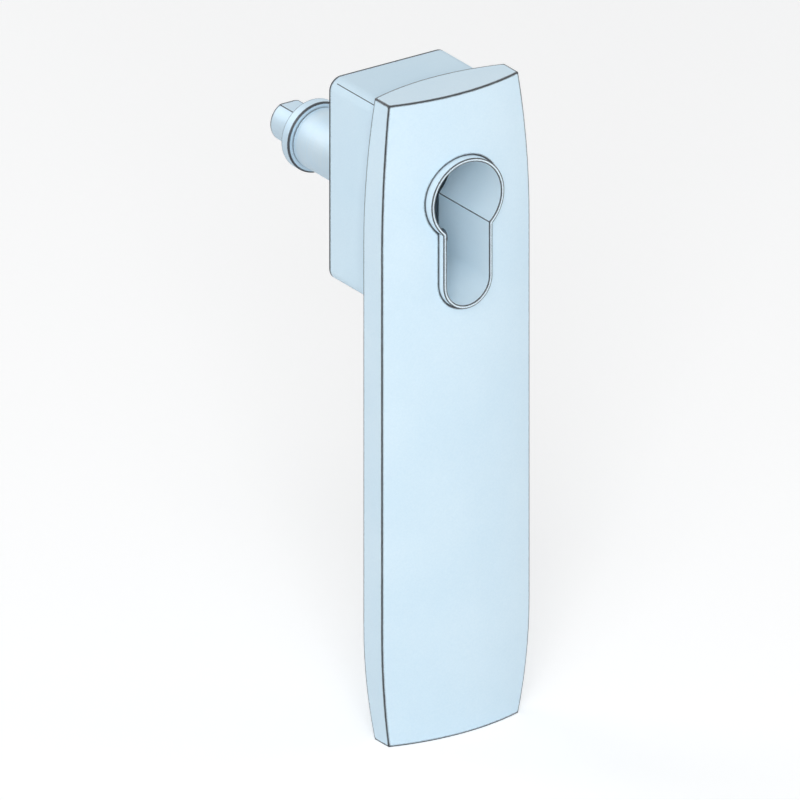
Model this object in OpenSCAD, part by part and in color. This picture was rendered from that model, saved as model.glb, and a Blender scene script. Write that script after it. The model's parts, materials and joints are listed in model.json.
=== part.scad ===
// Lockable turn handle for an enclosure door.
// The lever and its housing turn on a bush that the door holds. A spindle runs through the bush and
// drives the bolt work behind the door. A profile lock cylinder, fitted by the user, throws the lock slide.
// Frame: +Z up, +X to the right seen from the front, +Y into the enclosure.
// The origin is on the spindle axis, in the plane of the door's outer face.

/* [Lever] */
// Length of the lever
lever_length = 150; // [140:1:170]
// Width of the lever in its straight middle
lever_width = 38.5; // [37:0.5:44]
// Width of the lever at its two ends
lever_end_width = 33.7; // [33:0.1:36]
// Thickness on the centre line in the straight middle
lever_thickness = 14.2; // [13.6:0.1:16]
// Thickness on the centre line at the two ends
lever_end_thickness = 10.8; // [10:0.1:12]
// Radius of the crowned front and back faces, across the lever
crown_radius = 54; // [50:1:70]
// Length over which the upper end narrows
top_taper = 34; // [28:1:40]
// Length over which the lower end narrows
bottom_taper = 27; // [20:1:34]
// Distance from the door to the lever's middle plane
lever_offset = 22.8; // [22.4:0.1:26]
// Height of the lever's upper end above the spindle axis
axis_drop = 29.5; // [28.5:0.1:34]
// Front wall of the lever's hollow lower part
lever_wall = 2.4; // [1.8:0.1:3]

/* [Back cover] */
// Border of the lever that shows round the back cover
cover_border = 1.6; // [1.2:0.1:2.4]
// Thickness of the back cover
cover_thickness = 2; // [1.5:0.1:2.5]
// Width of the ledge that the back cover lies on
cover_ledge = 2; // [1.5:0.1:3]

/* [Lock cylinder opening] */
// Diameter of the round part of the profile
bore_diameter = 17.3; // [17.1:0.1:17.8]
// Width of the profile's slot
slot_width = 11.1; // [10.4:0.1:11.4]
// Height of the whole profile
profile_height = 33.3; // [33:0.1:33.6]
// Height of the round part's centre above the spindle axis
bore_rise = 5.6; // [5.3:0.1:6.5]
// Wall of the sleeve that lines the opening
sleeve_wall = 0.8; // [0.6:0.1:1.2]
// How far the sleeve's rim stands proud of the lever's centre line
rim_height = 1.2; // [0.6:0.1:2]

/* [Housing] */
// Width of the housing
housing_width = 30.8; // [29.6:0.1:31]
// Height of the housing
housing_height = 47.5; // [47.3:0.1:49]
// Height of the housing's top above the spindle axis
housing_top = 26.9; // [26.5:0.1:27.2]
// Radius of the housing's four long corners
housing_corner = 3; // [2.2:0.1:4]
// Wall round the housing's rear chamber
housing_wall = 1.5; // [1.2:0.1:1.8]
// Distance of the housing's seat behind the lever's middle plane
seat_offset = 2.3; // [1.8:0.1:2.6]
// Thickness of the cover that closes the chamber
rear_cover_thickness = 3.8; // [3.4:0.1:5]

/* [Bush and spindle] */
// Diameter of the bush's neck, which runs through the door
neck_diameter = 13.9; // [13.4:0.1:14.6]
// Length of the neck from the door's face to the collar
neck_length = 25.8; // [20:0.1:40]
// Diameter of the collar at the end of the neck
collar_diameter = 16.2; // [15.6:0.1:18]
// Thickness of the collar
collar_thickness = 2.85; // [2:0.05:5]
// Diameter of the spindle in the bush
spindle_diameter = 10; // [9.6:0.1:10.2]
// Diameter of the spindle's drive end
drive_diameter = 9.5; // [9:0.1:9.6]
// Length of the spindle's drive end, past the collar
drive_length = 9.25; // [6:0.05:20]
// Width across the square that the drive plate holds
spindle_square = 7.6; // [7:0.1:8]
// Height of the drive end's flat above the spindle axis
flat_height = 4.15; // [3.8:0.05:4.4]
// Diameter of the bush's flange, which sits on the door
flange_diameter = 19.6; // [18.6:0.1:20]

/* [Lock] */
// Diameter of the index plate that the lock slide engages
index_diameter = 23; // [22:0.1:23.4]
// Angle that the lever turns through
turn_angle = 90; // [80:1:95]
// Travel of the lock slide
slide_travel = 3; // [2.4:0.1:3.2]
// Width of the lock slide's nose
nose_width = 5.8; // [4.5:0.1:6.5]
// Width of the lock slide's body
slide_width = 19; // [17:0.5:19.4]

/* [Fits] */
// Clearance of a running fit, on the radius
running_gap = 0.05; // [0.02:0.01:0.09]
// Clearance of a part in its seat
seat_gap = 0.1; // [0.05:0.01:0.15]
// Clearance of parts that pass each other
pass_gap = 0.3; // [0.2:0.05:0.4]

/* [Hidden] */
$fn = 96;

// Facets of the small rings and of the lever's long arcs
ring_facets = 32;
outline_facets = 720;
sweep_facets = 360;
crown_facets = 180;

// Colours
pale_blue = "#d5ecfa";
zinc = "#c3d3de";
steel = "#aab4ba";
rubber = "#2b2f33";
polymer = "#e9edf0";

// Heights along the lever
lever_top = axis_drop;
lever_bottom = axis_drop - lever_length;
taper_high = lever_top - top_taper;
taper_low = lever_bottom + bottom_taper;
far = 60;

// Lever faces
lever_mid = -lever_offset;
crown_front = lever_mid - lever_thickness / 2;
crown_back = lever_mid + lever_thickness / 2;
width_drop = (lever_width - lever_end_width) / 2;
face_drop = (lever_thickness - lever_end_thickness) / 2;
sweep_share = 1.4;
function taper_radius(length, drop) = (length * length + drop * drop) / (2 * drop);

// Profile of the lock cylinder
bore_r = bore_diameter / 2;
slot_r = slot_width / 2;
slot_centre = bore_rise + bore_r - profile_height + slot_r;

// Thin pieces
gasket_t = 0.8;
flange_t = 1.2;
washer_t = 0.4;
index_t = 1.8;
bush_clip_t = 0.7;
plate_t = 1.5;
spindle_clip_t = 0.8;
end_lip = 0.65;
seal_t = 1;

// Levels along Y, from the door towards the user
housing_rear = -0.5;
flange_front = -gasket_t - flange_t;
pocket_floor = flange_front - seat_gap;
rear_cover_front = housing_rear - rear_cover_thickness;
washer_rear = rear_cover_front - running_gap;
washer_front = washer_rear - washer_t;
index_front = washer_front - index_t;
bush_clip_rear = index_front - running_gap;
bush_clip_front = bush_clip_rear - bush_clip_t;
bush_front = bush_clip_front - end_lip;
plate_rear = bush_front - 2 * seat_gap;
plate_front = plate_rear - plate_t;
spindle_clip_rear = plate_front - running_gap;
spindle_clip_front = spindle_clip_rear - spindle_clip_t;
spindle_front = spindle_clip_front - end_lip;
chamber_floor = spindle_front - pass_gap;
lever_seat = lever_mid + seat_offset;
housing_front = lever_seat + seal_t;
rim_front = crown_front - rim_height;

// Bush and spindle
neck_r = neck_diameter / 2;
spindle_r = spindle_diameter / 2;
drive_r = drive_diameter / 2;
bush_bore_r = spindle_r + running_gap;
flange_r = flange_diameter / 2;
bush_shoulder = 0.5;
bush_groove = 0.8;
flat_margin = 0.25;
collar_step = 0.8;
spigot_r = neck_r - bush_shoulder;
bush_groove_r = spigot_r - bush_groove;
bush_flats = 2 * (bush_groove_r + flat_margin);
collar_seat_r = neck_r - collar_step;
collar_r = collar_diameter / 2;
collar_end = neck_length + collar_thickness;
spindle_end = collar_end + drive_length;
spindle_groove = 0.5;
spindle_groove_r = spindle_square / 2 - spindle_groove;
clip_rim = 1.3;
edge_break = 0.3;

// O-rings
ring_r = 0.45;
ring_margin = 0.15;
ring_inset = 4;
groove_half = ring_r + ring_margin;
ring_sink = 2 * ring_r + running_gap;
bush_ring_y = (pocket_floor + rear_cover_front) / 2;
spindle_ring_y = neck_length - ring_inset;

// Index plate and stop
index_r = index_diameter / 2;
notch_r = index_r - slide_travel;
stop_r = 1;
stop_radius = index_r - stop_r - seat_gap;
stop_track = stop_radius - stop_r - seat_gap;
stop_reach = asin((stop_r + seat_gap) / stop_radius);
stop_bite = 1.6;
washer_r = notch_r - pass_gap;

// Lock slide
slide_body = 4.4;
slide_head = 5;
slide_neck = 15.6;
tongue_rise = 1.3;
tongue_h = 2.2;
tongue_width = 7.6;
guide_x = 5.8;
guide_rise = 2.2;
guide_r = 1;
guide_bite = 3;
spring_t = 0.4;
spring_rise = 0.7;
spring_half = 4.2;
nose_bottom = index_r + pass_gap;
slide_bottom = nose_bottom + slide_travel;
slide_shoulder = slide_bottom + slide_body;
slide_top = slide_shoulder + slide_head;
slide_rear = rear_cover_front - pass_gap;
slide_front = plate_rear + pass_gap;
tongue_low = slide_bottom + tongue_rise;
guide_z = slide_bottom + guide_rise;

// Housing
chamber_half = housing_width / 2 - housing_wall;
housing_bottom = housing_top - housing_height;
screw_inset = 4.3;
screw_x = housing_width / 2 - screw_inset;
screw_high = housing_top - screw_inset;
screw_low = housing_bottom + screw_inset;
screw_spots = [for (x = [-screw_x, screw_x], z = [screw_low, screw_high]) [x, z]];
column = 2.6;

// Drive plate and the posts that it is screwed to
plate_margin = 0.8;
foot_share = 1.5;
plate_top = tongue_low - slide_travel - plate_margin;
plate_bottom = screw_low + column + foot_share * plate_margin;
post_r = 2.4;
post_margin = 0.6;
post_low = -5;
post_high = plate_top - post_r - post_margin / 2;
post_x = chamber_half - post_r - post_margin;
post_spots = [for (x = [-post_x, post_x], z = [post_low, post_high]) [x, z]];

// Screw that holds the lock cylinder
cylinder_screw_depth = 2.05;
cylinder_screw_drop = 15.9;
cylinder_screw_r = 1.25;
cylinder_screw_sink = 1;
cylinder_screw_y = chamber_floor - cylinder_screw_depth;
cylinder_screw_z = bore_rise - cylinder_screw_drop;
cylinder_screw_tip = slot_r + pass_gap;
cylinder_screw_top = housing_width / 2 - cylinder_screw_sink;

// Screws
screw_r = 1.2;
screw_head_r = 2.3;
screw_head_h = 1.9;
screw_sink = 2.5;
screw_bite = 4.6;
small_r = 0.95;
small_head_r = 2;
small_head_h = 1.2;
small_bite = 3;
cover_screw_r = 1.4;
cover_head_r = 2.7;
cover_head_h = 1.4;
cover_screw_length = 8;
socket_share = 0.5;
socket_floor = 0.4;
socket_sides = 6;

// Lever's hollow lower part
cover_gap = 3.4;
cover_screw_inset = 18;
cover_screw_rise = 6;
cover_head_sink = 0.2;
cover_top = housing_bottom - cover_gap;
cavity_side = cover_border + cover_ledge;
cover_screw_spots = [cover_top - cover_screw_inset, taper_low + cover_screw_rise];
cover_head_y = crown_back - cover_head_sink;
boss_r = 3.2;
boss_top = crown_back - cover_thickness - 2 * seat_gap;
rib_t = 1.5;
rib_rise = 0.6;
rib_top = lever_mid + rib_rise;
rib_count = 6;
rib_x = 6.5;
rib_pitch = (cover_top - lever_bottom - 2 * cavity_side) / (rib_count + 1);
sleeve_flange = 2.2;
sleeve_edge = 1;

// A flat shape in X and Z, made solid between two levels along Y
module along_y(from, to) {
    translate([0, to, 0]) rotate([90, 0, 0]) linear_extrude(to - from) children();
}

// A shape in radius and Y, turned about the spindle axis
module about_y() {
    rotate([-90, 0, 0]) rotate_extrude() children();
}

module ring(inner, outer, from, to) {
    about_y() translate([inner, from]) square([outer - inner, to - from]);
}

// A round-section seal whose outside is level with the shaft that it sits in
module o_ring(shaft_r, y) {
    about_y() translate([shaft_r - ring_r, y]) circle(ring_r, $fn = ring_facets);
}

// An open retaining ring, with its gap at the bottom
module circlip(inner, outer, from, to) {
    along_y(from, to) difference() {
        circle(outer);
        circle(inner);
        translate([-inner / 2, -2 * outer]) square([inner, 2 * outer]);
    }
}

// A headed screw along Y, with its head towards the door
module headed_screw(head_floor, length, shank_r, head_r, head_h) {
    difference() {
        union() {
            along_y(head_floor - length, head_floor + head_h / 2) circle(shank_r);
            along_y(head_floor, head_floor + head_h) circle(head_r);
        }
        along_y(head_floor + head_h * socket_floor, head_floor + 2 * head_h)
            circle(head_r * socket_share, $fn = socket_sides);
    }
}

// The lock cylinder's profile, grown by a wall
module cylinder_profile(grow) {
    translate([0, bore_rise]) circle(bore_r + grow);
    translate([0, slot_centre]) circle(slot_r + grow);
    translate([-slot_r - grow, slot_centre]) square([slot_width + 2 * grow, bore_rise - slot_centre]);
}

// The housing's outline, taken in by an inset
module housing_outline(inset) {
    w = housing_width - 2 * inset;
    h = housing_height - 2 * inset;
    r = max(housing_corner - inset, 0.5);
    translate([0, (housing_top + housing_bottom) / 2]) {
        square([w, h - 2 * r], center = true);
        square([w - 2 * r, h], center = true);
        for (sx = [-1, 1], sz = [-1, 1]) translate([sx * (w / 2 - r), sz * (h / 2 - r)]) circle(r);
    }
}

// One narrowed end of the lever's outline, with sides that are arcs tangent to the middle's sides
module lever_end(from, to, tangent_z, taper, inset) {
    half = lever_width / 2;
    radius = taper_radius(taper, width_drop);
    intersection() {
        translate([inset - half, from]) square([lever_width - 2 * inset, to - from]);
        translate([half - radius, tangent_z]) circle(radius - inset, $fn = outline_facets);
        translate([radius - half, tangent_z]) circle(radius - inset, $fn = outline_facets);
    }
}

// The lever's outline below a given height, taken in by an inset
module lever_outline(inset, upper) {
    lever_end(lever_bottom + inset, taper_low, taper_low, bottom_taper, inset);
    if (upper > taper_high) {
        translate([inset - lever_width / 2, taper_low])
            square([lever_width - 2 * inset, taper_high - taper_low]);
        lever_end(taper_high, upper, taper_high, top_taper, inset);
    } else {
        translate([inset - lever_width / 2, taper_low])
            square([lever_width - 2 * inset, upper - taper_low]);
    }
}

module lever_prism(inset, upper) {
    along_y(lever_mid - far, lever_mid + far) lever_outline(inset, upper);
}

// The crown bent back over one end of the lever
module crown_end(skin, tangent_z, taper, from, to) {
    radius = taper_radius(taper, face_drop);
    sweep = sweep_share * asin(taper / radius);
    intersection() {
        translate([0, crown_front + radius, tangent_z]) rotate([90, 0, -90]) rotate([0, 0, -sweep])
            rotate_extrude(angle = 2 * sweep, $fn = sweep_facets)
            translate([radius - crown_radius, 0]) circle(crown_radius - skin, $fn = crown_facets);
        translate([-far, lever_mid - far, from]) cube([2 * far, 2 * far, to - from]);
    }
}

// Everything behind the lever's crowned front, taken in by a skin
module front_crown(skin) {
    crown_end(skin, taper_high, top_taper, taper_high, lever_top + 1);
    translate([0, crown_front + crown_radius, taper_low])
        cylinder(r = crown_radius - skin, h = taper_high - taper_low, $fn = crown_facets);
    crown_end(skin, taper_low, bottom_taper, lever_bottom - 1, taper_low);
}

module back_crown(skin) {
    translate([0, 2 * lever_mid, 0]) rotate([0, 0, 180]) front_crown(skin);
}

module lever_form(inset, skin) {
    intersection() {
        lever_prism(inset, lever_top - inset);
        front_crown(skin);
        back_crown(skin);
    }
}

// Ribs and screw bosses inside the lever
module lever_ribs() {
    intersection() {
        lever_form(cover_border / 2, lever_wall / 2);
        union() {
            for (i = [1 : rib_count])
                translate([-far, lever_mid - far, lever_bottom + cavity_side + i * rib_pitch])
                cube([2 * far, far + rib_top - lever_mid, rib_t]);
            for (sx = [-1, 1])
                translate([sx * rib_x - rib_t / 2, lever_mid - far, lever_bottom + cavity_side / 2])
                cube([rib_t, far + rib_top - lever_mid, cover_top - lever_bottom - cavity_side]);
            for (z = cover_screw_spots) translate([0, 0, z])
                along_y(lever_mid - far, boss_top) circle(boss_r);
        }
    }
}

// Lever: the front half with its side bands, hollow below the housing
module lever_shell() {
    color(pale_blue) difference() {
        union() {
            difference() {
                lever_form(0, 0);
                intersection() {
                    lever_prism(cavity_side, cover_top - cover_ledge);
                    front_crown(lever_wall);
                }
                difference() {
                    along_y(lever_mid, lever_mid + far) lever_outline(cover_border, cover_top);
                    back_crown(cover_thickness + seat_gap);
                }
                along_y(lever_seat, far) housing_outline(-seat_gap);
            }
            lever_ribs();
        }
        along_y(-far, far) cylinder_profile(sleeve_wall + running_gap);
        for (p = screw_spots) translate([p[0], 0, p[1]])
            along_y(lever_seat - screw_bite - pass_gap, lever_seat + seal_t) circle(screw_r + running_gap);
        for (z = cover_screw_spots) translate([0, 0, z])
            along_y(cover_head_y - cover_screw_length - pass_gap, crown_back)
            circle(cover_screw_r + running_gap);
    }
}

// Back cover: a crowned sheet let into the lever's back
module back_cover() {
    color(pale_blue) difference() {
        intersection() {
            along_y(lever_mid, lever_mid + far)
                lever_outline(cover_border + seat_gap, cover_top - seat_gap);
            back_crown(0);
        }
        back_crown(cover_thickness);
        for (z = cover_screw_spots) translate([0, 0, z]) {
            along_y(lever_mid, crown_back + 1) circle(cover_screw_r + seat_gap);
            about_y() polygon([
                [0, cover_head_y - cover_head_h],
                [cover_screw_r + seat_gap, cover_head_y - cover_head_h],
                [cover_head_r + seat_gap, cover_head_y],
                [cover_head_r + seat_gap, crown_back + 1],
                [0, crown_back + 1]
            ]);
        }
    }
}

module back_cover_screws() {
    color(zinc) for (z = cover_screw_spots) translate([0, 0, z]) difference() {
        about_y() polygon([
            [0, cover_head_y - cover_screw_length],
            [cover_screw_r, cover_head_y - cover_screw_length],
            [cover_screw_r, cover_head_y - cover_head_h],
            [cover_head_r, cover_head_y],
            [0, cover_head_y]
        ]);
        along_y(cover_head_y - cover_head_h * (1 - socket_floor), crown_back)
            circle(cover_head_r * socket_share, $fn = socket_sides);
    }
}

// A round hole from the opening to the housing's right side, where the cylinder's screw goes
module cylinder_screw_hole(gap) {
    translate([0, cylinder_screw_y, cylinder_screw_z]) rotate([0, 90, 0])
        cylinder(r = cylinder_screw_r + gap, h = far);
}

// Sleeve: lines the opening through the lever and the housing, and its front end is the raised rim
module cylinder_sleeve() {
    color(pale_blue) difference() {
        union() {
            along_y(rim_front, chamber_floor) cylinder_profile(sleeve_wall);
            along_y(lever_seat, housing_front - running_gap) intersection() {
                cylinder_profile(sleeve_flange);
                housing_outline(sleeve_edge);
            }
        }
        along_y(-far, far) cylinder_profile(0);
        cylinder_screw_hole(seat_gap);
    }
}

// Housing: a block with the cylinder's opening in front and the mechanism's chamber behind
module housing() {
    color(pale_blue) difference() {
        union() {
            difference() {
                along_y(housing_front, housing_rear) housing_outline(0);
                along_y(chamber_floor, far) housing_outline(housing_wall);
            }
            along_y(chamber_floor - 1, rear_cover_front) intersection() {
                housing_outline(housing_wall / 2);
                for (sx = [0, 1], sz = [0, 1]) mirror([sx, 0])
                    translate([screw_x - column, sz == 1 ? screw_high - column : screw_low + column - far])
                    square([far, far]);
            }
            along_y(chamber_floor - 1, plate_front) for (p = post_spots) translate(p) circle(post_r);
        }
        along_y(-far, chamber_floor + pass_gap) cylinder_profile(sleeve_wall + running_gap);
        along_y(-far, far) for (p = screw_spots) translate(p) circle(screw_r + seat_gap);
        along_y(plate_front - small_bite, far) for (p = post_spots) translate(p)
            circle(small_r + running_gap);
        along_y(chamber_floor - guide_bite, far) for (sx = [-1, 1]) translate([sx * guide_x, guide_z])
            circle(guide_r + running_gap);
        cylinder_screw_hole(running_gap);
    }
}

module housing_seal() {
    color(rubber) along_y(lever_seat, housing_front) difference() {
        housing_outline(2 * seat_gap);
        intersection() {
            cylinder_profile(sleeve_flange + seat_gap);
            housing_outline(sleeve_edge - seat_gap);
        }
        cylinder_profile(sleeve_wall + seat_gap);
        for (p = screw_spots) translate(p) circle(screw_r + seat_gap);
    }
}

// Rear cover: let into the housing's back, and carries the bush
module rear_cover() {
    color(pale_blue) difference() {
        along_y(rear_cover_front, housing_rear) housing_outline(housing_wall + seat_gap);
        along_y(-far, far) circle(neck_r + running_gap);
        along_y(pocket_floor, far) circle(flange_r + pass_gap);
        along_y(-far, far) for (p = screw_spots) translate(p) circle(screw_r + seat_gap);
        along_y(housing_rear - screw_sink, far) for (p = screw_spots) translate(p)
            circle(screw_head_r + seat_gap);
        along_y(-far, rear_cover_front + stop_bite) translate([0, -stop_radius])
            circle(stop_r + running_gap);
    }
}

module housing_screws() {
    color(zinc) for (p = screw_spots) translate([p[0], 0, p[1]])
        headed_screw(housing_rear - screw_sink, housing_rear - screw_sink - lever_seat + screw_bite,
            screw_r, screw_head_r, screw_head_h);
}

// Headless screw that will hold the lock cylinder, backed off clear of the opening
module cylinder_screw() {
    color(zinc) translate([0, cylinder_screw_y, cylinder_screw_z]) rotate([0, 90, 0]) difference() {
        translate([0, 0, cylinder_screw_tip])
            cylinder(r = cylinder_screw_r, h = cylinder_screw_top - cylinder_screw_tip);
        translate([0, 0, cylinder_screw_top - cylinder_screw_r])
            cylinder(r = cylinder_screw_r * socket_share, h = far, $fn = socket_sides);
    }
}

// Bush: stays still in the door, and everything else turns on it
module bearing_bush() {
    color(zinc) difference() {
        about_y() polygon([
            [bush_bore_r, bush_front],
            [spigot_r, bush_front],
            [spigot_r, bush_clip_front],
            [bush_groove_r, bush_clip_front],
            [bush_groove_r, index_front],
            [spigot_r, index_front],
            [spigot_r, washer_front],
            [neck_r, washer_front],
            [neck_r, bush_ring_y - groove_half],
            [neck_r - ring_sink, bush_ring_y - groove_half],
            [neck_r - ring_sink, bush_ring_y + groove_half],
            [neck_r, bush_ring_y + groove_half],
            [neck_r, flange_front],
            [flange_r, flange_front],
            [flange_r, -gasket_t],
            [neck_r, -gasket_t],
            [neck_r, neck_length],
            [collar_seat_r, neck_length],
            [collar_seat_r, collar_end],
            [bush_bore_r, collar_end]
        ]);
        for (sx = [-1, 1]) translate([sx * (bush_flats / 2 + far / 2), bush_front - 1, 0])
            translate([-far / 2, 0, -far / 2]) cube([far, washer_front - bush_front + 1, far]);
    }
}

module door_gasket() {
    color(rubber) ring(neck_r + running_gap, flange_r, -gasket_t, 0);
}

module bush_o_ring() {
    color(rubber) o_ring(neck_r, bush_ring_y);
}

module thrust_washer() {
    color(polymer) ring(neck_r + running_gap, washer_r, washer_front, washer_rear);
}

// Index plate: notches for the lock slide at both ends of the turn, and a track for the stop pin
module index_plate() {
    color(steel) along_y(index_front, washer_front) difference() {
        circle(index_r);
        intersection() {
            circle(spigot_r + running_gap);
            square([bush_flats + 2 * running_gap, far], center = true);
        }
        for (turn = [0, turn_angle]) rotate(-turn)
            translate([-nose_width / 2 - seat_gap, notch_r]) square([nose_width + 2 * seat_gap, far]);
        difference() {
            polygon([
                [0, 0],
                far * [sin(180 - stop_reach), cos(180 - stop_reach)],
                far * [sin(180 + turn_angle / 2), cos(180 + turn_angle / 2)],
                far * [sin(180 + turn_angle + stop_reach), cos(180 + turn_angle + stop_reach)]
            ]);
            circle(stop_track);
        }
    }
}

module bush_circlip() {
    color(steel)
        circlip(bush_groove_r + running_gap, spigot_r + clip_rim, bush_clip_front, bush_clip_rear);
}

module retaining_collar() {
    color(zinc) about_y() polygon([
        [collar_seat_r + running_gap, neck_length],
        [collar_r - edge_break, neck_length],
        [collar_r, neck_length + edge_break],
        [collar_r, collar_end - edge_break],
        [collar_r - edge_break, collar_end],
        [collar_seat_r + running_gap, collar_end]
    ]);
}

// Spindle: square in the drive plate, round in the bush, with one flat on its drive end
module spindle() {
    color(zinc) difference() {
        about_y() polygon([
            [0, spindle_front],
            [spindle_r, spindle_front],
            [spindle_r, spindle_clip_front],
            [spindle_groove_r, spindle_clip_front],
            [spindle_groove_r, plate_front],
            [spindle_r, plate_front],
            [spindle_r, spindle_ring_y - groove_half],
            [spindle_r - ring_sink, spindle_ring_y - groove_half],
            [spindle_r - ring_sink, spindle_ring_y + groove_half],
            [spindle_r, spindle_ring_y + groove_half],
            [spindle_r, collar_end],
            [drive_r, collar_end],
            [drive_r, spindle_end - edge_break],
            [drive_r - edge_break, spindle_end],
            [0, spindle_end]
        ]);
        along_y(spindle_front - 1, plate_rear) difference() {
            square(far, center = true);
            square(spindle_square, center = true);
        }
        translate([-far / 2, collar_end, flat_height]) cube([far, far, far]);
    }
}

module spindle_circlip() {
    color(steel) circlip(
        spindle_groove_r + running_gap, spindle_r + clip_rim, spindle_clip_front, spindle_clip_rear
    );
}

module spindle_o_ring() {
    color(rubber) o_ring(spindle_r, spindle_ring_y);
}

// Drive plate: carries the lever's turn from the housing to the spindle
module drive_plate() {
    color(steel) along_y(plate_front, plate_rear) difference() {
        translate([seat_gap - chamber_half, plate_bottom])
            square([2 * chamber_half - 2 * seat_gap, plate_top - plate_bottom]);
        square(spindle_square + 2 * running_gap, center = true);
        for (p = post_spots) translate(p) circle(small_r + seat_gap);
    }
}

module drive_plate_screws() {
    color(zinc) for (p = post_spots) translate([p[0], 0, p[1]])
        headed_screw(plate_rear, plate_t + small_bite - seat_gap, small_r, small_head_r, small_head_h);
}

module stop_pin() {
    color(steel) translate([0, 0, -stop_radius])
        along_y(index_front - seat_gap, rear_cover_front + stop_bite - running_gap) circle(stop_r);
}

module guide_pins() {
    color(steel) for (sx = [-1, 1]) translate([sx * guide_x, 0, guide_z])
        along_y(chamber_floor - guide_bite + running_gap, slide_rear) circle(guide_r);
}

// Leaf spring that keeps the lock slide where the cylinder has put it, bowed from the wall to the slide
module slide_spring() {
    bow = chamber_half - slide_width / 2 - seat_gap;
    radius = taper_radius(spring_half, bow);
    color(steel) translate([-chamber_half, 0, slide_bottom + spring_rise])
        along_y(slide_front + pass_gap, slide_rear - pass_gap) intersection() {
            translate([bow - radius, 0]) difference() {
                circle(radius);
                circle(radius - spring_t);
            }
            translate([running_gap, -far / 2]) square([far, far]);
        }
}

// Lock slide: drawn in its upper, unlocked place
module lock_slide() {
    color(zinc) difference() {
        union() {
            along_y(slide_front, slide_rear) {
                translate([-nose_width / 2, nose_bottom]) square([nose_width, slide_top - nose_bottom]);
                translate([-slide_width / 2, slide_bottom])
                    square([slide_width, slide_shoulder - slide_bottom]);
                translate([-slide_neck / 2, slide_bottom]) square([slide_neck, slide_top - slide_bottom]);
            }
            along_y(spindle_clip_front, slide_rear) translate([-tongue_width / 2, tongue_low])
                square([tongue_width, tongue_h]);
        }
        along_y(-far, far) for (sx = [-1, 1])
            translate([sx * guide_x - guide_r - seat_gap, guide_z - guide_r - seat_gap])
            square([2 * guide_r + 2 * seat_gap, 2 * guide_r + slide_travel + 2 * seat_gap]);
    }
}

bearing_bush();
door_gasket();
bush_o_ring();
thrust_washer();
index_plate();
bush_circlip();
retaining_collar();
lever_shell();
back_cover();
back_cover_screws();
cylinder_sleeve();
housing();
housing_seal();
rear_cover();
housing_screws();
cylinder_screw();
drive_plate();
drive_plate_screws();
spindle();
spindle_circlip();
spindle_o_ring();
stop_pin();
guide_pins();
slide_spring();
lock_slide();
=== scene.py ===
# Lockable turn handle for an enclosure door, dressed for rendering.
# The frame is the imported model, in metres: +Z up, +Y into the enclosure, and the origin on the
# spindle axis in the plane of the door's outer face.
import json
import math

import bpy
from mathutils import Matrix, Vector

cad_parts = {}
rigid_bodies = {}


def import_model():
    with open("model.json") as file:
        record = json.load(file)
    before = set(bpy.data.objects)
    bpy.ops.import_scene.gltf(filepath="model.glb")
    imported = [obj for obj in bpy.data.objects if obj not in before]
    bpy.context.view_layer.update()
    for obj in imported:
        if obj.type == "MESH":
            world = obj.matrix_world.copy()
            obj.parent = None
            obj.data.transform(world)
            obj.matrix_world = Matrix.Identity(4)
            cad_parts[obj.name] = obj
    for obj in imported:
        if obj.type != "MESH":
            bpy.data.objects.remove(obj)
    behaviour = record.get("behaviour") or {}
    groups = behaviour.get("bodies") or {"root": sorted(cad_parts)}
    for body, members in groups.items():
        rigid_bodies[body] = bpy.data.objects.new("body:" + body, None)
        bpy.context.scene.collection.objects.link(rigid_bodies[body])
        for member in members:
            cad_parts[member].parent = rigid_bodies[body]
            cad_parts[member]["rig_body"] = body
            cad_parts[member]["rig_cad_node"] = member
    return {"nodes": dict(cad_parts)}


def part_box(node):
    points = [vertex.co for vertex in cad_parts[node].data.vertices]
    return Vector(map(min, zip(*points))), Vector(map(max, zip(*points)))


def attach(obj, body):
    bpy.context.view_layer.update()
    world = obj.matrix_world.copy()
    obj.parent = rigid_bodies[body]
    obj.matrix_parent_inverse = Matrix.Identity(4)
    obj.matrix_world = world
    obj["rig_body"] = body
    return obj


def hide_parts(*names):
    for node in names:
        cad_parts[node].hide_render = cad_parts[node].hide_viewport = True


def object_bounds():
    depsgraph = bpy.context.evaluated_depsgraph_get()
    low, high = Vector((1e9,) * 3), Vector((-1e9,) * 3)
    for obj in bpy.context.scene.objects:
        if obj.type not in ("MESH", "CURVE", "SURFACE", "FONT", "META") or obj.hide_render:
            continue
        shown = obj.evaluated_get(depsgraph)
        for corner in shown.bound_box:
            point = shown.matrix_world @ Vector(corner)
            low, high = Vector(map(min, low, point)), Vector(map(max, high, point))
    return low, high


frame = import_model()
cad_box = [list(corner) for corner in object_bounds()]
bpy.context.scene.view_settings.view_transform = "Standard"

# Camera
# A parallel view from the upper left, as in the picture: no perspective, and the lever's long
# edges upright. Its place puts the picture's middle in the middle of the frame.
PIXELS = 800
PIXELS_PER_METRE = 4648
VIEW_AZIMUTH = math.radians(-34.26)
VIEW_ELEVATION = math.radians(23.16)
MIDDLE_RIGHT = 13.2 / PIXELS_PER_METRE
MIDDLE_UP = -223.45 / PIXELS_PER_METRE
CAMERA_DISTANCE = 1.2
CAMERA_NEAR = 0.01
CAMERA_FAR = 20

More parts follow.
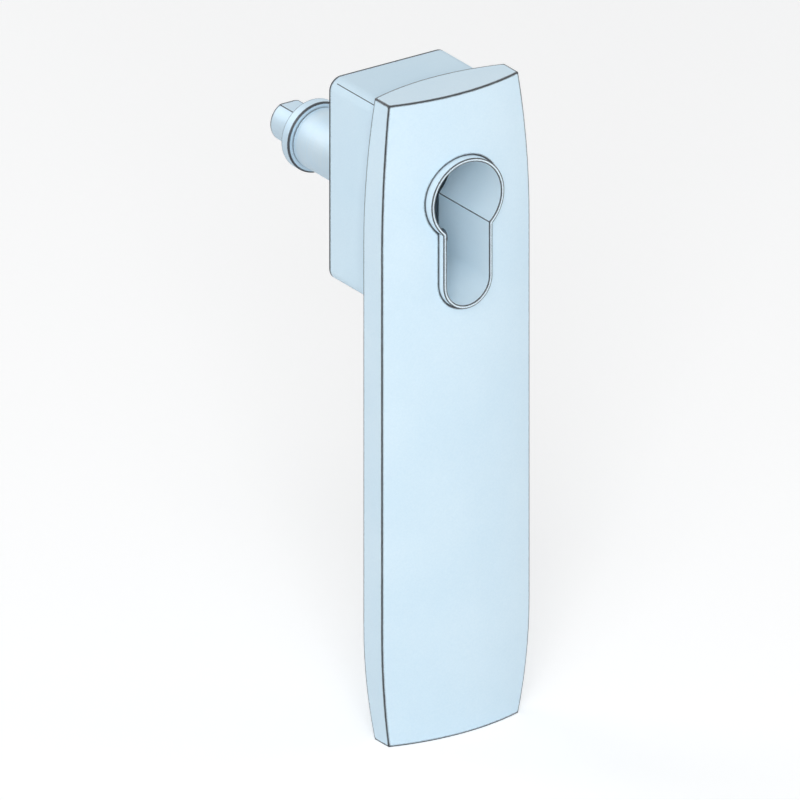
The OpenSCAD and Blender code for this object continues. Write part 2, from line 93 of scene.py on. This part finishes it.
right = Vector((math.cos(VIEW_AZIMUTH), math.sin(VIEW_AZIMUTH), 0))
back = Vector((
    math.sin(VIEW_AZIMUTH) * math.cos(VIEW_ELEVATION),
    -math.cos(VIEW_AZIMUTH) * math.cos(VIEW_ELEVATION),
    math.sin(VIEW_ELEVATION),
))
up = back.cross(right)
place = Matrix((right, up, back)).transposed().to_4x4()
place.translation = right * MIDDLE_RIGHT + up * MIDDLE_UP + back * CAMERA_DISTANCE
bpy.ops.object.camera_add()
camera = bpy.context.active_object
camera.name = "camera"
camera.matrix_world = place
camera.data.type = "ORTHO"
camera.data.ortho_scale = PIXELS / PIXELS_PER_METRE
camera.data.clip_start = CAMERA_NEAR
camera.data.clip_end = CAMERA_FAR
bpy.context.scene.camera = camera

# Light
# A pale room all round, with large soft lamps: one over the left shoulder, one by the viewer that
# reaches into the opening, a weak one from the right, and one behind for the neck and the covers.
ROOM_LIGHT = 0.46
ROOM_SEEN = 1.0
LAMP_AIM = Vector((0, 0, -0.045))
LAMPS = (
    ("key_lamp", (-0.55, -0.75, 0.95), 0.7, 3.4),
    ("viewer_lamp", (-0.62, -0.91, 0.47), 0.4, 4.4),
    ("right_lamp", (0.95, -0.45, 0.25), 0.8, 1.6),
    ("rear_lamp", (-0.45, 0.95, 0.55), 0.8, 2.6),
)

for name, spot, size, watts in LAMPS:
    bpy.ops.object.light_add(type="AREA", location=spot)
    lamp = bpy.context.active_object
    lamp.name = name
    lamp.data.size = size
    lamp.data.energy = watts
    lamp.rotation_mode = "QUATERNION"
    lamp.rotation_quaternion = (LAMP_AIM - Vector(spot)).to_track_quat("-Z", "Y")

world = bpy.data.worlds.new("pale_room")
world.use_nodes = True
bpy.context.scene.world = world
nodes, links = world.node_tree.nodes, world.node_tree.links
seen = nodes.new("ShaderNodeLightPath")
looked_at = seen.outputs["Is Camera Ray"]
for ray in ("Is Glossy Ray", "Is Transmission Ray"):
    either = nodes.new("ShaderNodeMath")
    either.operation = "MAXIMUM"
    links.new(looked_at, either.inputs[0])
    links.new(seen.outputs[ray], either.inputs[1])
    looked_at = either.outputs[0]
strength = nodes.new("ShaderNodeMapRange")
strength.inputs["To Min"].default_value = ROOM_LIGHT
strength.inputs["To Max"].default_value = ROOM_SEEN
links.new(looked_at, strength.inputs["Value"])
links.new(strength.outputs[0], nodes["Background"].inputs["Strength"])
nodes["Background"].inputs["Color"].default_value = (1, 1, 1, 1)

# Floor
# A plain white board under the lever's lower end, with its far edge well out of sight. The viewer
# sees it a little brighter than it is lit, so that it reads as white and still takes the shadow.
FLOOR_SIZE = 12
FLOOR_COLOUR = (0.94, 0.945, 0.95, 1)
FLOOR_ROUGHNESS = 0.9
FLOOR_SHINE = 0.1
FLOOR_LIFT = 0.22

bpy.ops.object.select_all(action="DESELECT")
bpy.ops.mesh.primitive_plane_add(size=FLOOR_SIZE, location=(0, 0, cad_box[0][2]))
floor = bpy.context.active_object
floor.name = "floor"
board = bpy.data.materials.new("white_board")
board.use_nodes = True
nodes, links = board.node_tree.nodes, board.node_tree.links
sheet = nodes["Principled BSDF"]
sheet.inputs["Base Color"].default_value = FLOOR_COLOUR
sheet.inputs["Roughness"].default_value = FLOOR_ROUGHNESS
sheet.inputs["Specular IOR Level"].default_value = FLOOR_SHINE
sheet.inputs["Emission Color"].default_value = (1, 1, 1, 1)
lift = nodes.new("ShaderNodeMath")
lift.operation = "MULTIPLY"
lift.inputs[1].default_value = FLOOR_LIFT
links.new(nodes.new("ShaderNodeLightPath").outputs["Is Camera Ray"], lift.inputs[0])
links.new(lift.outputs[0], sheet.inputs["Emission Strength"])
floor.data.materials.append(board)

# Bearing bush
# A turned steel bush, zinc plated and blue passivated, that the door holds still. Its edges are
# broken on the lathe, and the tool has left fine rings along the neck and on the faces.
SHORTEST = 0.00009
EDGE_ANGLE = math.radians(28)
CUT_SLOT = 1
BROKEN_EDGE = 0.0002
TURNED_REACH = 0.0008
TURNED_BLUE = (0.57, 0.73, 0.85, 1)
TURNED_GREY = (0.63, 0.75, 0.83, 1)
TURNED_SWING = (0.35, 0.65)
TURNED_ROUGHNESS = (0.46, 0.60)
TURNED_METALLIC = 0.55
BARE_METAL = (0.07, 0.077, 0.087, 1)
RING_GRAIN = 2600
RING_SWING = (0.2, 0.8)
RING_DEPTH = 0.00003
RING_SHARE = 0.5
STAIN_GRAIN = 160
WEAR_SAMPLES = 16
WEAR_TURN = (0.955, 0.99)
WEAR_GAIN = 1.25
WEAR_BORDER = (0.55, 0.95)
CHIP_GRAIN = 900
CHIP_GAIN = 0.9
NOISE_MIDDLE = 0.5


def copy_solid(node, name, flat=0):
    """A copy of a node's solid as one skin, with two empty slots to tell cut faces from the rest.
    Faces that meet at less than the flat angle are joined."""
    solid = frame["nodes"][node]
    bpy.ops.object.select_all(action="DESELECT")
    solid.select_set(True)
    bpy.context.view_layer.objects.active = solid
    bpy.ops.object.duplicate()
    piece = bpy.context.active_object
    piece.name = piece.data.name = name
    piece.parent = None
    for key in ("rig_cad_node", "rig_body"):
        del piece[key]
    piece.data.materials.clear()
    for _ in range(CUT_SLOT + 1):
        piece.data.materials.append(None)
    bpy.ops.mesh.customdata_custom_splitnormals_clear()
    bpy.ops.object.mode_set(mode="EDIT")
    bpy.ops.mesh.select_mode(type="EDGE")
    bpy.ops.mesh.select_all(action="SELECT")
    bpy.ops.mesh.remove_doubles(threshold=SHORTEST)
    if flat:
        bpy.ops.mesh.dissolve_limited(angle_limit=flat)
    bpy.ops.object.mode_set(mode="OBJECT")
    return piece


def break_edges(width, slide=False):
    """Cuts the active piece's sharp edges back."""
    bpy.ops.object.mode_set(mode="EDIT")
    bpy.ops.mesh.select_mode(type="EDGE")
    bpy.ops.mesh.select_all(action="DESELECT")
    bpy.ops.mesh.edges_select_sharp(sharpness=EDGE_ANGLE)
    bpy.ops.mesh.bevel(
        offset=width, segments=1, affect="EDGES", clamp_overlap=False, loop_slide=slide,
        material=CUT_SLOT,
    )
    bpy.ops.object.mode_set(mode="OBJECT")


def settle(piece, finish, node, body):
    """Marks the cut faces with the attribute 'worn', levels the shading, and gives the piece its
    finish and its body. The node that it stands for is hidden."""
    worn = piece.data.attributes.new("worn", "FLOAT", "FACE")
    for face, mark in zip(piece.data.polygons, worn.data):
        mark.value = face.material_index
        face.material_index = 0
    piece.data.materials.clear()
    piece.data.materials.append(finish)
    bpy.ops.object.shade_smooth_by_angle(angle=EDGE_ANGLE)
    level = piece.modifiers.new("level_faces", "WEIGHTED_NORMAL")
    level.mode = "FACE_AREA"
    level.keep_sharp = True
    bpy.ops.object.modifier_apply(modifier=level.name)
    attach(piece, body)
    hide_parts(node)


def effect(name, inputs, outputs):
    """An empty shader node group with these sockets, and its two ends."""
    group = bpy.data.node_groups.new(name, "ShaderNodeTree")
    for way, labels in (("INPUT", inputs), ("OUTPUT", outputs)):
        for label in labels:
            kind = "NodeSocketVector" if label == "Vector" else "NodeSocketFloat"
            group.interface.new_socket(label, in_out=way, socket_type=kind)
    given = group.nodes.new("NodeGroupInput").outputs
    made = group.nodes.new("NodeGroupOutput").inputs
    return group, given, made


def feed(tree, socket, value):
    """Links a socket to another one, or sets it to a plain value."""
    if isinstance(value, bpy.types.NodeSocket):
        tree.links.new(value, socket)
    else:
        socket.default_value = value


def maths(tree, operation, *values):
    """A math node fed by sockets or plain numbers."""
    node = tree.nodes.new("ShaderNodeMath")
    node.operation = operation
    for socket, value in zip(node.inputs, values):
        feed(tree, socket, value)
    return node.outputs[0]


def weighed(tree, first, second, share):
    """Two values added, the first by its share and the second by the rest."""
    return maths(
        tree, "ADD",
        maths(tree, "MULTIPLY", first, share), maths(tree, "MULTIPLY", second, 1 - share),
    )


def spread(tree, value, from_range, to_range=(0, 1)):
    """A value's range carried onto another range, and held inside it."""
    node = tree.nodes.new("ShaderNodeMapRange")
    tree.links.new(value, node.inputs["Value"])
    for end, (low, high) in (("From", from_range), ("To", to_range)):
        node.inputs[end + " Min"].default_value = low
        node.inputs[end + " Max"].default_value = high
    return node.outputs[0]


def noise(tree, vector, scale, detail=2.0):
    """Plain noise at so many cells a metre."""
    node = tree.nodes.new("ShaderNodeTexNoise")
    for label, value in (("Vector", vector), ("Scale", scale), ("Detail", detail)):
        feed(tree, node.inputs[label], value)
    return node.outputs["Fac"]


def mixed(tree, share, first, second):
    """Two colours mixed by a share. A Mix node has its colours at inputs 6 and 7 and output 2."""
    node = tree.nodes.new("ShaderNodeMix")
    node.data_type = "RGBA"
    for index, value in ((0, share), (6, first), (7, second)):
        feed(tree, node.inputs[index], value)
    return node.outputs[2]


# Wear: where the finish is rubbed off, on the faces marked as worn and in a band with a broken
# border beside sharp edges. The band is where the normals within reach differ from the face's own.
wear, given, made = effect("edge_wear", ("Vector", "Edge", "Reach"), ("Mask",))
rounded = wear.nodes.new("ShaderNodeBevel")
rounded.samples = WEAR_SAMPLES
wear.links.new(given["Reach"], rounded.inputs["Radius"])
own = wear.nodes.new("ShaderNodeNewGeometry").outputs["True Normal"]
turned = wear.nodes.new("ShaderNodeVectorMath")
turned.operation = "DOT_PRODUCT"
wear.links.new(rounded.outputs["Normal"], turned.inputs[0])
wear.links.new(own, turned.inputs[1])
beside = spread(wear, turned.outputs["Value"], WEAR_TURN, (1, 0))
band = maths(wear, "MAXIMUM", beside, given["Edge"])
chips = maths(wear, "SUBTRACT", noise(wear, given["Vector"], CHIP_GRAIN, 4.0), NOISE_MIDDLE)
rubbed_off = maths(
    wear, "ADD",
    maths(wear, "MULTIPLY", band, WEAR_GAIN), maths(wear, "MULTIPLY", chips, CHIP_GAIN),
)
wear.links.new(spread(wear, rubbed_off, WEAR_BORDER), made["Mask"])

# Tool marks: rings about the spindle axis, by distance along it on a neck and by radius on a face,
# and broad stains in the tone.
tooling, given, made = effect("tool_marks", ("Vector",), ("Height", "Tone"))
parts = tooling.nodes.new("ShaderNodeSeparateXYZ")
tooling.links.new(given["Vector"], parts.inputs[0])
squares = [maths(tooling, "MULTIPLY", parts.outputs[axis], parts.outputs[axis]) for axis in "XZ"]
radius = maths(tooling, "SQRT", maths(tooling, "ADD", *squares))
rings = tooling.nodes.new("ShaderNodeTexNoise")
rings.noise_dimensions = "1D"
rings.inputs["Scale"].default_value = RING_GRAIN
tooling.links.new(maths(tooling, "ADD", parts.outputs["Y"], radius), rings.inputs["W"])
tooling.links.new(rings.outputs["Fac"], made["Height"])
tooling.links.new(noise(tooling, given["Vector"], STAIN_GRAIN, 3.0), made["Tone"])


def new_finish(name):
    """A new material with its node tree, its shader and object coordinates."""
    material = bpy.data.materials.new(name)
    material.use_nodes = True
    tree = material.node_tree
    where = tree.nodes.new("ShaderNodeTexCoord").outputs["Object"]
    return material, tree, tree.nodes["Principled BSDF"], where


def placed(tree, group, **given):
    """A node group placed in a material, with its inputs linked or set."""
    node = tree.nodes.new("ShaderNodeGroup")
    node.node_tree = group
    for label, value in given.items():
        feed(tree, node.inputs[label], value)
    return node.outputs


def rubbed(tree, where, reach):
    """The mask of the rubbed edges, with the piece's own attribute for the worn faces."""
    mark = tree.nodes.new("ShaderNodeAttribute")
    mark.attribute_name = "worn"
    return placed(tree, wear, Vector=where, Edge=mark.outputs["Fac"], Reach=reach)["Mask"]


def relief(tree, shader, height, depth):
    """Relief of so many metres at full height."""
    node = tree.nodes.new("ShaderNodeBump")
    node.inputs["Strength"].default_value = 1
    node.inputs["Distance"].default_value = depth
    tree.links.new(height, node.inputs["Height"])
    tree.links.new(node.outputs["Normal"], shader.inputs["Normal"])


def turned_zinc(name, reach):
    """The blue passivated plating on a turned surface, with its edges rubbed over a reach."""
    material, tree, shader, where = new_finish(name)
    marks = placed(tree, tooling, Vector=where)
    streaks = weighed(tree, marks["Height"], marks["Tone"], RING_SHARE)
    tone = mixed(tree, spread(tree, streaks, TURNED_SWING), TURNED_BLUE, TURNED_GREY)
    colour = mixed(tree, rubbed(tree, where, reach), tone, BARE_METAL)
    roughness = spread(tree, marks["Height"], RING_SWING, TURNED_ROUGHNESS)
    tree.links.new(colour, shader.inputs["Base Color"])
    tree.links.new(roughness, shader.inputs["Roughness"])
    shader.inputs["Metallic"].default_value = TURNED_METALLIC
    relief(tree, shader, marks["Height"], RING_DEPTH)
    return material


blue_zinc = turned_zinc("blue_passivated_zinc", TURNED_REACH)
bush = copy_solid("bearing_bush", "turned_bush")
break_edges(BROKEN_EDGE)
settle(bush, blue_zinc, "bearing_bush", "bearing")

# Gasket, O-rings and housing seal
# Moulded black rubber: a flat ring under the bush's flange, two round rings in their grooves, and
# a flat seal between the lever and the housing. Matt, with a faint grey bloom.
GASKET_EDGE = 0.00012
RUBBER_BLACK = (0.026, 0.028, 0.031, 1)
RUBBER_BLOOM = (0.075, 0.080, 0.086, 1)
RUBBER_ROUGHNESS = (0.62, 0.82)
RUBBER_GRAIN = 5200
RUBBER_DEPTH = 0.000018
BLOOM_GRAIN = 240
BLOOM_SWING = (0.45, 0.7)


def dress(finish, *nodes):
    """Gives CAD nodes whose shape stays as it is their finish."""
    for node in nodes:
        frame["nodes"][node].data.materials.clear()
        frame["nodes"][node].data.materials.append(finish)


rubber, tree, shader, where = new_finish("moulded_rubber")
bloom = spread(tree, noise(tree, where, BLOOM_GRAIN, 4.0), BLOOM_SWING)
tree.links.new(mixed(tree, bloom, RUBBER_BLACK, RUBBER_BLOOM), shader.inputs["Base Color"])
tree.links.new(spread(tree, bloom, (0, 1), RUBBER_ROUGHNESS), shader.inputs["Roughness"])
relief(tree, shader, noise(tree, where, RUBBER_GRAIN), RUBBER_DEPTH)

gasket = copy_solid("door_gasket", "gasket_ring")
break_edges(GASKET_EDGE)
settle(gasket, rubber, "door_gasket", "bearing")
dress(rubber, "bush_o_ring", "spindle_o_ring", "housing_seal")

# Thrust washer
# A thin ring turned from natural acetal, white with a warm cast. It sits on the bush between the
# index plate and the rear cover, which slides round on it.
ACETAL_WHITE = (0.80, 0.82, 0.83, 1)
ACETAL_WARM = (0.84, 0.84, 0.82, 1)
ACETAL_ROUGHNESS = (0.30, 0.42)
ACETAL_DEPTH = 0.000006

acetal, tree, shader, where = new_finish("natural_acetal")
marks = placed(tree, tooling, Vector=where)
roughness = spread(tree, marks["Height"], RING_SWING, ACETAL_ROUGHNESS)
tree.links.new(mixed(tree, marks["Tone"], ACETAL_WHITE, ACETAL_WARM), shader.inputs["Base Color"])
tree.links.new(roughness, shader.inputs["Roughness"])
relief(tree, shader, marks["Height"], ACETAL_DEPTH)
dress(acetal, "thrust_washer")

# Index plate, drive plate and lock slide
# Blanked from steel strip and zinc plated, with the rolling grain of the strip still to be seen.
# The index plate stays with the bush, and the other two turn with the housing.
PLATE_LIGHT = (0.60, 0.65, 0.69, 1)
PLATE_DARK = (0.50, 0.55, 0.59, 1)
PLATE_ROUGHNESS = (0.30, 0.46)
PLATE_METALLIC = 0.9
PLATE_REACH = 0.0005
PLATE_STAIN_GRAIN = 210
ROLLED_STRETCH = (600, 600, 6000)
ROLLED_SWING = (0.25, 0.75)
ROLLED_DEPTH = 0.000008

rolled, given, made = effect("rolled_grain", ("Vector",), ("Height", "Tone"))
stretch = rolled.nodes.new("ShaderNodeMapping")
stretch.inputs["Scale"].default_value = ROLLED_STRETCH
rolled.links.new(given["Vector"], stretch.inputs["Vector"])
rolled.links.new(noise(rolled, stretch.outputs["Vector"], 1.0, 3.0), made["Height"])
rolled.links.new(noise(rolled, given["Vector"], PLATE_STAIN_GRAIN, 3.0), made["Tone"])

plated, tree, shader, where = new_finish("plated_strip")
grain = placed(tree, rolled, Vector=where)
tone = mixed(tree, grain["Tone"], PLATE_DARK, PLATE_LIGHT)
colour = mixed(tree, rubbed(tree, where, PLATE_REACH), tone, BARE_METAL)
roughness = spread(tree, grain["Height"], ROLLED_SWING, PLATE_ROUGHNESS)
tree.links.new(colour, shader.inputs["Base Color"])
tree.links.new(roughness, shader.inputs["Roughness"])
shader.inputs["Metallic"].default_value = PLATE_METALLIC
relief(tree, shader, grain["Height"], ROLLED_DEPTH)
dress(plated, "index_plate", "drive_plate", "lock_slide")

# Circlips, pins and the slide's leaf spring
# Hardened spring steel with a dark phosphate finish, a little mottled. The circlips snap into their
# grooves, the pins are pressed in, and the spring lies bowed beside the lock slide.
PHOSPHATE_DARK = (0.085, 0.090, 0.098, 1)
PHOSPHATE_GREY = (0.150, 0.156, 0.165, 1)
PHOSPHATE_ROUGHNESS = (0.38, 0.55)
PHOSPHATE_METALLIC = 0.8
MOTTLE_GRAIN = 1400
MOTTLE_SWING = (0.3, 0.7)
MOTTLE_DEPTH = 0.000006

phosphated, tree, shader, where = new_finish("phosphated_steel")
mottle = noise(tree, where, MOTTLE_GRAIN, 4.0)
tree.links.new(mixed(tree, mottle, PHOSPHATE_DARK, PHOSPHATE_GREY), shader.inputs["Base Color"])
tree.links.new(spread(tree, mottle, MOTTLE_SWING, PHOSPHATE_ROUGHNESS), shader.inputs["Roughness"])
shader.inputs["Metallic"].default_value = PHOSPHATE_METALLIC
relief(tree, shader, mottle, MOTTLE_DEPTH)
dress(phosphated, "bush_circlip", "spindle_circlip", "stop_pin", "guide_pins", "slide_spring")

# Spindle
# A turned rod in the bush's plated finish, with a milled square at the lever's end and one milled
# flat along its drive end. Its edges are rubbed further back than the bush's.
SPINDLE_EDGE = 0.00014
SPINDLE_REACH = 0.0016

spindle_zinc = turned_zinc("spindle_zinc", SPINDLE_REACH)
spindle = copy_solid("spindle", "drive_spindle")
break_edges(SPINDLE_EDGE, slide=True)
settle(spindle, spindle_zinc, "spindle", "handle")

# Rear cover and housing
# Mouldings of dark grey polyamide under a pale blue lacquer with a fine peel, rubbed through to
# the grey along the edges. The mould's parting line runs along the housing's four rounded corners.
MOULDED_EDGE = 0.0001
COAT_BLUE = (0.632, 0.808, 0.930, 1)
COAT_PALE = (0.684, 0.846, 0.954, 1)
COAT_SWING = (0.35, 0.65)
ROUGHNESS_SWING = 0.05
BARE_MOULDING = (0.045, 0.050, 0.058, 1)
BROAD_GRAIN = 700
CLOUD_GRAIN = 45
FINE_SHARE = 0.4
HOUSING_SKIN = {"grain": 2600, "depth": 0.00006, "roughness": 0.55, "shine": 0.2}
HOUSING_REACH = 0.0018
COVER_REACH = 0.0006
CORNER_RADIUS = 0.003
CORNER_TOLERANCE = CORNER_RADIUS * 0.05
CORNER_TILT = 0.1
LINE_WIDTH = 0.0002
LINE_START = -0.0023

peel, given, made = effect("coat_peel", ("Vector", "Grain"), ("Height", "Tone"))
fine = noise(peel, given["Vector"], given["Grain"], 1.5)
broad = noise(peel, given["Vector"], BROAD_GRAIN, 1.0)
cloud = noise(peel, given["Vector"], CLOUD_GRAIN, 3.0)
peel.links.new(weighed(peel, fine, broad, FINE_SHARE), made["Height"])
peel.links.new(weighed(peel, fine, cloud, FINE_SHARE), made["Tone"])


def coated(name, grain, depth, roughness, shine, reach, colours=(COAT_BLUE, COAT_PALE)):
    """The lacquer with a peel of one grain and depth, at one roughness, level of shine and reach
    of the rubbed edges."""
    material, tree, shader, where = new_finish(name)
    skin = placed(tree, peel, Vector=where, Grain=grain)
    tone = mixed(tree, spread(tree, skin["Tone"], COAT_SWING), *colours)
    colour = mixed(tree, rubbed(tree, where, reach), tone, BARE_MOULDING)
    ends = (roughness - ROUGHNESS_SWING, roughness + ROUGHNESS_SWING)
    tree.links.new(colour, shader.inputs["Base Color"])
    tree.links.new(spread(tree, skin["Height"], COAT_SWING, ends), shader.inputs["Roughness"])
    shader.inputs["Specular IOR Level"].default_value = shine
    relief(tree, shader, skin["Height"], depth)
    return material


rear_coat = coated("rear_coat", **HOUSING_SKIN, reach=COVER_REACH)
lid = copy_solid("rear_cover", "rear_plate")
break_edges(MOULDED_EDGE)
settle(lid, rear_coat, "rear_cover", "handle")

housing_coat = coated("housing_coat", **HOUSING_SKIN, reach=HOUSING_REACH)
block = copy_solid("housing", "housing_block")
break_edges(MOULDED_EDGE)
low, high = (Vector(corner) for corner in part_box("housing"))
for side_x, side_z in ((-1, -1), (-1, 1), (1, -1), (1, 1)):
    # The corner's arc is cut across where the line starts, and then along its middle in front of
    # that. The second cut is the line, and a narrow strip is laid along it.
    centre = Vector((
        (high.x if side_x > 0 else low.x) - side_x * CORNER_RADIUS,
        LINE_START,
        (high.z if side_z > 0 else low.z) - side_z * CORNER_RADIUS,
    ))
    for plane, rear in (((0, 1, 0), high.y), ((side_x, 0, -side_z), LINE_START)):
        bpy.ops.object.mode_set(mode="EDIT")
        bpy.ops.mesh.select_mode(type="FACE")
        bpy.ops.mesh.select_all(action="DESELECT")
        bpy.ops.object.mode_set(mode="OBJECT")
        for face in block.data.polygons:
            out = face.center - centre
            out.y = 0
            on_arc = abs(out.length - CORNER_RADIUS) < CORNER_TOLERANCE
            lengthways = abs(face.normal.y) < CORNER_TILT
            this_corner = out.x * side_x > 0 and out.z * side_z > 0
            face.select = on_arc and lengthways and this_corner and face.center.y < rear
        bpy.ops.object.mode_set(mode="EDIT")
        bpy.ops.mesh.bisect(plane_co=centre, plane_no=plane)
    bpy.ops.mesh.select_mode(type="EDGE")
    bpy.ops.mesh.bevel(
        offset=LINE_WIDTH / 2, segments=2, profile=1.0, affect="EDGES", clamp_overlap=False,
        material=CUT_SLOT,
    )
    bpy.ops.object.mode_set(mode="OBJECT")
settle(block, housing_coat, "housing", "handle")

# Lever and back cover
# The lever is a crowned moulding with flat side bands, narrower and thinner at its two ends. The
# cover is let into its hollow back. Both have the same lacquer as the housing, a little glossier.
LEVEL_ANGLE = math.radians(0.3)
LEVER_SKIN = {"grain": 2200, "depth": 0.00007, "roughness": 0.38, "shine": 0.5}
LEVER_REACH = 0.0012

lever_coat = coated("lever_coat", **LEVER_SKIN, reach=LEVER_REACH)
lever = copy_solid("lever_shell", "lever_moulding", LEVEL_ANGLE)
break_edges(MOULDED_EDGE)
settle(lever, lever_coat, "lever_shell", "handle")

panel_coat = coated("panel_coat", **LEVER_SKIN, reach=COVER_REACH)
cover = copy_solid("back_cover", "back_panel")
break_edges(MOULDED_EDGE)
settle(cover, panel_coat, "back_cover", "handle")

# Sleeve
# A thin moulded lining with the lock cylinder's profile. Its front end stands proud of the lever
# as a rim, and it has a smoother lacquer than the lever. Its blue is painted paler than the
# lever's as painted light, to lift the shade on the walls inside the opening.
RIM_EDGE = 0.00007
RIM_REACH = 0.0007
# Painted light: the lining's two blues are paler than the lever's, to brighten the shaded opening.
LIT_LINING_BLUE = (0.73, 0.877, 0.970, 1)
LIT_LINING_PALE = (0.77, 0.903, 0.980, 1)
LINING_SKIN = {"grain": 3200, "depth": 0.00003, "roughness": 0.36, "shine": 0.5}

# The sleeve's lacquer carries the paler blues, painted light for the shaded walls of the opening.
sleeve_coat_painted_light = coated(
    "sleeve_coat_painted_light", **LINING_SKIN, reach=RIM_REACH, colours=(LIT_LINING_BLUE, LIT_LINING_PALE)
)
sleeve = copy_solid("cylinder_sleeve", "opening_sleeve")
break_edges(RIM_EDGE)
settle(sleeve, sleeve_coat_painted_light, "cylinder_sleeve", "handle")

# Screws
# Socket screws in the same plating as the plates: two in the back cover, four through the housing
# into the lever, four that hold the drive plate, and a headless one for the lock cylinder.
SCREW_EDGE = 0.00012

for node, name in (
    ("back_cover_screws", "cover_screw_pair"),
    ("housing_screws", "housing_screw_set"),
    ("cylinder_screw", "cylinder_grub_screw"),
):
    screws = copy_solid(node, name)
    break_edges(SCREW_EDGE)
    settle(screws, plated, node, "handle")
dress(plated, "drive_plate_screws")

# Retaining collar
# A turned ring pressed on the end of the neck, in the same plated finish as the bush. The plating
# is rubbed off its chamfers.
CHAMFER_SLOPE = (0.3, 0.95)

collar = copy_solid("retaining_collar", "neck_collar")
for face in collar.data.polygons:
    if CHAMFER_SLOPE[0] < abs(face.normal.y) < CHAMFER_SLOPE[1]:
        face.material_index = CUT_SLOT
settle(collar, blue_zinc, "retaining_collar", "bearing")
